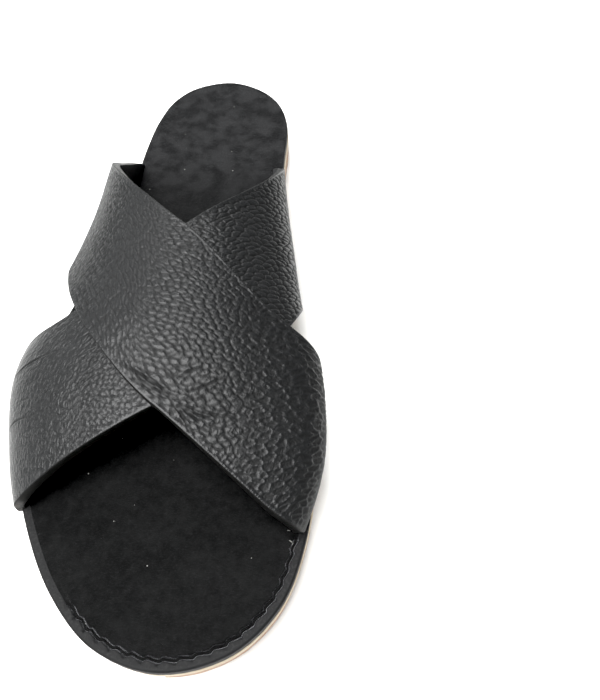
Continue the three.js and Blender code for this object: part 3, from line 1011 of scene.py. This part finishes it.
def build_thread_ends():
    """Short pale ends of thread that stand out of the hole."""
    x, y = hole_spot()
    top = float(level_height(insole_top, y))
    parts = []
    for aside, ahead, turn, reach, lift in ((-0.7, -1.0, 2.7, 0.9, 0.3), (-0.5, -1.2, 4.6, 0.7, 0.4),
                                            (-1.5, 2.4, 3.3, 0.7, 0.3)):
        shares = np.linspace(0, 1, 7)
        points = np.column_stack([
            x + aside + reach * shares * math.cos(turn),
            y + ahead + reach * shares * math.sin(turn),
            top - 0.2 + (lift + 0.2) * np.sin(math.pi / 2 * shares),
        ])
        parts.append(tube(points, 0.12 * (1.1 - 0.6 * shares), sides=6))
    points, faces = joined(parts)
    pale = thread("pale_thread", (0.27, 0.27, 0.25), (0.37, 0.37, 0.35))
    return dress(new_object("thread_ends", points, faces, slots=[pale]), "dark_edge_leather")


# The bands' grain. Around runs over the foot from the outer seat, and y runs along the foot.
def cells(p, q, seed, jitter=0.82):
    """Cells laid like bricks: dome height, and how near a point lies to a valley and to a wider ridge."""
    size = 64
    spots = np.random.default_rng(int(seed)).random((size, size, 2)) * jitter + (1 - jitter) / 2
    row = np.floor(q).astype(int)
    distances = []
    for row_on in (-1, 0, 1):
        shifted = p - 0.5 * ((row + row_on) % 2)
        column = np.floor(shifted).astype(int)
        for column_on in (-1, 0, 1):
            spot = spots[(column + column_on) % size, (row + row_on) % size]
            across = column + column_on + spot[..., 0] - shifted
            up = row + row_on + spot[..., 1] - q
            distances.append(np.hypot(across, up))
    nearest, second = np.sort(np.stack(distances), axis=0)[:2]
    dome = 1 - np.clip(nearest / 0.8, 0, 1) ** 2
    gap = second - nearest
    plateau = smooth_step(gap / 0.36)
    return 0.4 * dome + 0.6 * plateau, np.exp(-((gap / 0.2) ** 2)), np.exp(-((gap / 0.24) ** 2))


# Where the rows of pebbles turn over the crown, and how softly, in millimetres around the foot
crown_around = 65
crown_round = 10


def wander(around, y, size):
    """Rows that climb to both sides of the crown, with a slow drift that keeps cells from lining up."""
    across = np.sin(y / 3.1 + 1.7 * np.sin(around / 5.3)) + 0.6 * np.sin(y / 1.9 - around / 4.1)
    up = np.sin(around / 3.7 + 1.5 * np.sin(y / 4.9)) + 0.6 * np.sin(around / 2.3 + y / 5.7)
    slope = np.where(around < crown_around, 0.72, 0.3)
    climb = slope * (np.hypot(around - crown_around, crown_round) - crown_round)
    return around + size * across, y - climb + size * up


def grain_relief(rows, sweep, around, y):
    """Depth of the grain below the leather's surface in millimetres, and the painted shade of its valleys from 0 to
    1.
    """
    depth = np.zeros_like(around)
    valley_shade = np.zeros_like(around)
    for index in range(len(rows["seed"])):
        row = {key: float(values[index]) for key, values in rows.items()}
        blend = row["blend"] / 2
        mask = ramp(row["start"] - blend, row["start"] + blend, sweep)
        mask = mask * (1 - ramp(row["stop"] - blend, row["stop"] + blend, sweep))
        drift_around, drift_y = wander(around, y, 0.22 * row["wide"])
        turn = math.radians(row["angle"])
        p = (drift_around * math.cos(turn) + drift_y * math.sin(turn)) / row["long"]
        q = (drift_y * math.cos(turn) - drift_around * math.sin(turn)) / row["wide"]
        dome, valley, ridge = cells(p, q, row["seed"])
        small_dome, small_valley, small_ridge = cells(p * 1.9 + 5.3, q * 2.1 + 8.1, row["seed"] + 50)
        domed = 0.82 * dome + 0.18 * small_dome - 0.12 * valley
        ridged = 0.8 * ridge + 0.2 * small_ridge
        profile = domed + (ridged - domed) * row["ridged"]
        depth += mask * row["depth"] * (1 - profile)
        # Painted shade: dark along the valleys, or in the dished cells between thin ridges where a row is ridged.
        low = 0.85 * valley + 0.2 * small_valley
        low = low + (0.75 * (1 - ridge) - low) * row["ridged"]
        valley_shade += mask * np.clip(row["depth"] / 0.3, 0, 1) * low
    return depth, np.clip(valley_shade, 0, 1)


def crease_relief(band, rows, around, y):
    """Troughs with a low ridge on both sides: depth in millimetres, and the painted shade along each trough."""
    depth = np.zeros_like(around)
    dark = np.zeros_like(around)
    for index in range(len(rows["depth"])):
        row = {key: float(values[index]) for key, values in rows.items()}
        start = band.place(row["sweep0"], row["share0"])
        end = band.place(row["sweep1"], row["share1"])
        size = float(np.linalg.norm(end - start))
        run = (end - start) / size
        travel = (around - start[0]) * run[0] + (y - start[1]) * run[1]
        share = np.clip(travel / size, 0, 1)
        offset = (y - start[1]) * run[0] - (around - start[0]) * run[1]
        offset = offset - row["bow"] * np.sin(math.pi * share)
        distance = np.hypot(offset, travel - share * size)
        fade = np.sin(math.pi * np.clip(share, 0.03, 0.97)) ** 0.5
        trough = hump(distance, 0, row["width"])
        ridge = 0.45 * hump(distance, 2.3 * row["width"], 1.2 * row["width"])
        depth += row["depth"] * fade * (trough - ridge)
        # Painted shade along the trough.
        dark += np.clip(row["depth"] / 0.3, 0, 1) * fade * trough
    return depth, np.clip(dark, 0, 1)


# Each row: where it starts and stops in sweep and how softly, the cells' direction from the way
# around the foot in degrees, their length, width and depth in millimetres, how far they are
# dished between thin ridges instead of domed, and a seed.
TOP_GRAIN = table(
    "start stop blend angle long wide depth ridged seed",
    (-0.2, 0.3, 0.12, 62, 2.6, 1.4, 0.13, 0, 11),
    (0.27, 0.47, 0.08, 104, 3.8, 1.3, 0.25, 0, 12),
    (0.46, 0.69, 0.08, 0, 2.3, 1.7, 0.34, 0, 13),
    (0.68, 0.88, 0.07, 0, 3.7, 1.8, 0.32, 1, 14),
    (0.87, 1.2, 0.08, 0, 3.4, 1.3, 0.02, 0, 15),
)
UNDER_GRAIN = table(
    "start stop blend angle long wide depth ridged seed",
    (-0.2, 0.22, 0.1, 84, 3.6, 0.95, 0.04, 0, 21),
    (0.2, 0.36, 0.1, 72, 3.2, 1.2, 0.2, 0, 22),
    (0.34, 0.54, 0.06, 30, 1.7, 1.4, 0.27, 0, 23),
    (0.53, 0.86, 0.06, -4, 3.7, 1.7, 0.36, 0, 24),
    (0.85, 1.2, 0.08, 0, 3.0, 1.2, 0.06, 0, 25),
)

# Fine grain between the seats and the crown: sweep against strength, for the shader's bump
TOP_FINE = table("sweep fine", (0, 1), (0.2, 0.95), (0.3, 0.4), (0.4, 0.12), (0.8, 0.15), (0.9, 0.05), (1, 0.05))
UNDER_FINE = table("sweep fine", (0, 0.25), (0.15, 0.3), (0.3, 0.3), (0.42, 0.15), (0.6, 0.15), (0.85, 0.1), (1, 0.1))

# Creases and puckers, by their ends on the band. Bow, width and depth are in millimetres.
TOP_CREASES = table(
    "sweep0 share0 sweep1 share1 bow width depth",
    (0.425, 0.973, 0.545, 0.89, 0.5, 0.32, 0.2),
    (0.47, 0.94, 0.545, 0.89, -0.6, 0.28, 0.18),
    (0.45, 0.985, 0.53, 0.935, 0.3, 0.3, 0.12),
    (0.535, 0.834, 0.595, 0.623, 0.8, 0.3, 0.24),
    (0.55, 0.842, 0.635, 0.584, -0.8, 0.3, 0.22),
    (0.548, 0.874, 0.61, 0.734, -0.4, 0.3, 0.18),
    (0.548, 0.893, 0.66, 0.726, -1.2, 0.3, 0.18),
    (0.548, 0.905, 0.62, 0.824, -0.5, 0.3, 0.2),
    (0.546, 0.911, 0.59, 0.907, 0.3, 0.3, 0.18),
    (0.543, 0.917, 0.567, 0.985, 0.4, 0.3, 0.2),
    (0.538, 0.918, 0.536, 0.985, -0.3, 0.3, 0.18),
)
UNDER_CREASES = table(
    "sweep0 share0 sweep1 share1 bow width depth",
    (0.12, 0.235, 0.275, 0.285, 0.4, 0.24, 0.2),
    (0.09, 0.53, 0.22, 0.62, 0.7, 0.24, 0.2),
    (0.15, 0.45, 0.21, 0.49, 0.2, 0.24, 0.08),
    (0.255, 0.53, 0.3, 0.55, 0.1, 0.24, 0.08),
    (0.6, 0.1, 0.78, 0.2, 0.7, 0.6, 0.08),
    (0.62, 0.42, 0.8, 0.47, -0.8, 0.6, 0.08),
)


def band_relief(band, sweep, share, along):
    """Depth below the plain surface, and the painted shade of valleys and creases, at places on a band."""
    around = sweep * band_girth
    y = y_at(along)
    grain_rows, crease_rows = (TOP_GRAIN, TOP_CREASES) if band is top_band else (UNDER_GRAIN, UNDER_CREASES)
    grain, valley_shade = grain_relief(grain_rows, sweep, around, y)
    crease, dark = crease_relief(band, crease_rows, around, y)
    width = (band.front(sweep) - band.rear(sweep)) * sole_length
    from_edge = np.minimum(share, 1 - share) * width
    inward = ramp(0.25, 1.3, from_edge)
    seats = ramp(0.0, 0.03, np.minimum(sweep, 1 - sweep))
    return (grain + crease) * inward * seats, np.clip(valley_shade + dark, 0, 1) * inward


def band_stations():
    """Sweep, bend and tuck of each station from the outer tuck to the inner one, closer at the pebbles."""
    bends = np.linspace(0, 1, bend_steps + 1)
    even = np.linspace(0, 1, 2001)
    weight = 1 + 1.3 * ramp(0.3, 0.42, even) * ramp(0.94, 0.86, even)
    travel = np.cumsum(weight) - weight[0]
    sweeps = np.interp(np.linspace(0, travel[-1], band_sweep_steps + 1), travel, even)
    rows = [(0, 1, tuck) for tuck in (1, 0.5)]
    rows += [(0, bend, 0) for bend in bends[::-1]]
    rows += [(sweep, -1, 0) for sweep in sweeps]
    rows += [(1, bend, 0) for bend in bends]
    rows += [(1, 1, tuck) for tuck in (0.5, 1)]
    return np.array(rows, dtype=float)


def band_profile():
    """The section across a band, as a closed loop from the rear of the grain side.

    Columns are the share across, the margin in from the edge in millimetres, the depth of the
    leather as a share from the inside to the grain side, and the material slot of the next face.
    """
    corner = 0.32
    low_corner = 0.25
    front_lean = 0.6
    top_turn = [(corner * (1 - math.sin(a)), 1 - corner * (1 - math.cos(a)) / band_thickness)
                for a in np.linspace(0, math.pi / 2, 6)]
    low_turn = [(low_corner * (1 - math.cos(a)), low_corner * (1 - math.sin(a)) / band_thickness)
                for a in np.linspace(0, math.pi / 2, 4)]
    rows = [(share, corner * (1 - 2 * share), 1, 0) for share in np.linspace(0, 1, band_across_steps + 1)]
    rows += [(1, front_lean * (1 - depth) - inset, depth, 1) for inset, depth in top_turn[1:]]
    rows.append((1, front_lean * 0.55, 0.45, 1))
    rows += [(1, front_lean * (1 - depth) - inset, depth, 1) for inset, depth in low_turn]
    rows += [(share, low_corner * (1 - 2 * share) + front_lean * share, 0, 2)
             for share in np.linspace(1, 0, inside_across_steps + 1)[1:-1]]
    rows += [(0, inset, depth, 1) for inset, depth in low_turn[::-1]]
    rows.append((0, 0, 0.45, 1))
    rows += [(0, inset, depth, 1) for inset, depth in top_turn[:0:-1]]
    return np.array(rows)


def band_points(band):
    """The band's points, stations by profile, with each point's place on the leather and its painted shade."""
    rows = band_stations()[:, None, :]
    sweep, bend, tuck = (rows[..., k] for k in range(3))
    profile = band_profile()[None, :, :]
    share, margin, depth = (profile[..., k] for k in range(3))
    rear = band.rear(sweep)
    front = band.front(sweep)
    along = rear + (front - rear) * share + margin / sole_length
    sweep, bend, tuck, share, depth = (np.broadcast_to(v, along.shape) for v in (sweep, bend, tuck, share, depth))
    inside = inside_point(along, sweep)
    normal = outward_normal(along, sweep)
    relief, dark = band_relief(band, sweep, share, along)
    on_grain = (depth > 0.999) & (bend <= 0)
    lift = band.lap(sweep) + band_thickness * depth - np.where(on_grain, relief, 0)
    over_foot = inside + normal * lift[..., None]
    angle = math.pi / 2 * np.maximum(bend, 0)
    wall = band_thickness + (tuck_thickness - band_thickness) * np.maximum(bend, 0)
    radius = seat_bend_radius + wall * depth
    reach = seat_bend_radius + (tuck_length - seat_bend_radius) * tuck
    seat = inside + normal * (radius * np.cos(angle) - reach)[..., None]
    centre = level_height(base_top + seat_bend_radius + joint_gap, seat[..., 1])
    seat[..., 2] = centre - radius * np.sin(angle)
    points = np.where((bend >= 0)[..., None], seat, over_foot)
    place = np.stack([sweep * band_girth, y_at(along)], axis=-1)
    return points, place, np.where(on_grain, dark, 0)


def build_band(band, name, materials):
    points, place, dark = band_points(band)
    rows, columns = points.shape[:2]
    faces = loft_faces(rows, columns, True).tolist()
    first = list(range(columns))[::-1]
    last = list(range((rows - 1) * columns, rows * columns))
    slots = np.tile(band_profile()[:, 3], rows - 1)
    slots = np.concatenate([slots, [1, 1]])
    fine = smooth_column(TOP_FINE if band is top_band else UNDER_FINE, "sweep", "fine")(place[..., 0] / band_girth)
    piece = new_object(
        name, points.reshape(-1, 3), [*faces, first, last], slots=materials, face_slots=slots,
        uv=place.reshape(-1, 2), attributes={
            # The valley attribute holds the painted shade of valleys and creases.
            "valley": dark.ravel(),
            "fine": np.clip(fine, 0, 1).ravel(),
            "dull": ramp(0.82, 0.93, place[..., 0] / band_girth).ravel(),
        },
    )
    clean_normals(piece)
    return dress(piece, "band_leather", "upper")


def clean_normals(piece):
    """Turns every face outward."""
    import bmesh

    work = bmesh.new()
    work.from_mesh(piece.data)
    bmesh.ops.recalc_face_normals(work, faces=work.faces)
    work.to_mesh(piece.data)
    work.free()
    piece.data.update()


def build_bands():
    materials = [pebbled_leather(), cut_edge_leather(), flesh_side()]
    build_band(under_band, "under_band", materials)
    build_band(top_band, "top_band", materials)


# Camera, floor and light
image_width = 600
image_height = 700
focal_pixels = 648.15
sensor_mm = 36


def build_camera():
    """The photograph's view, worked out from the sole's outline and the bands' edges."""
    data = bpy.data.cameras.new("camera")
    data.sensor_width = sensor_mm
    data.lens = focal_pixels * sensor_mm / image_height
    data.clip_start = 0.01
    camera = bpy.data.objects.new("camera", data)
    forward = Vector((-0.01769, 0.56265, -0.82651)).normalized()
    up = Vector((-0.03210, 0.82589, 0.56291))
    right = forward.cross(up).normalized()
    up = right.cross(forward)
    turn = Matrix((right, up, -forward)).transposed().to_4x4()
    camera.matrix_world = Matrix.Translation((0.04504, -0.15051, 0.19790)) @ turn
    bpy.context.scene.collection.objects.link(camera)
    bpy.context.scene.camera = camera


def build_floor():
    size = 3.0
    drop = 0.0001
    mesh = bpy.data.meshes.new("floor")
    corners = [(-size, -size, -drop), (size, -size, -drop), (size, size, -drop), (-size, size, -drop)]
    mesh.from_pydata(corners, [], [(0, 1, 2, 3)])
    mesh.materials.append(plain_material("floor", (0.93, 0.93, 0.915), 0.6, specular=0.2))
    floor = bpy.data.objects.new("floor", mesh)
    bpy.context.scene.collection.objects.link(floor)


def area_light(name, place, target, size, watts, tone=(1, 1, 1)):
    data = bpy.data.lights.new(name, "AREA")
    data.shape = "DISK"
    data.size = size
    data.energy = watts
    data.color = tone
    light = bpy.data.objects.new(name, data)
    light.location = place
    direction = Vector(target) - Vector(place)
    light.rotation_euler = direction.to_track_quat("-Z", "Y").to_euler()
    bpy.context.scene.collection.objects.link(light)


def build_light():
    """Soft light from the left and behind, and a plain contrast curve like a phone's."""
    black_level = 0.006
    white_level = 0.75
    scene = bpy.context.scene
    scene.view_settings.view_transform = "Standard"
    scene.view_settings.use_curve_mapping = True
    scene.view_settings.curve_mapping.black_level = (black_level,) * 3
    scene.view_settings.curve_mapping.white_level = (white_level,) * 3
    world = bpy.data.worlds.new("studio")
    world.use_nodes = True
    n = Nodes(world.node_tree)
    background = world.node_tree.nodes["Background"]
    background.inputs["Color"].default_value = (0.97, 1.0, 1.0, 1)
    direction = world.node_tree.nodes.new("ShaderNodeTexCoord").outputs["Generated"]
    toward = n.vector("DOT_PRODUCT", direction, (-0.76, 0.6, -0.25)).node.outputs["Value"]
    n.put(background.inputs["Strength"], n.span(toward, -0.5, 1.0, 0.14, 0.93))
    scene.world = world
    area_light("ceiling", (-0.35, -0.3, 1.6), (0, 0, 0.02), 1.5, 60)
    area_light("window", (-0.2, 1.15, 1.0), (0, 0, 0.02), 0.3, 5)


build_camera()
build_sole()
build_footbed()
build_stitches()
build_thread_ends()
build_bands()
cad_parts["insole_base"].data.materials.clear()
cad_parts["insole_base"].data.materials.append(black_edge())
build_floor()
build_light()
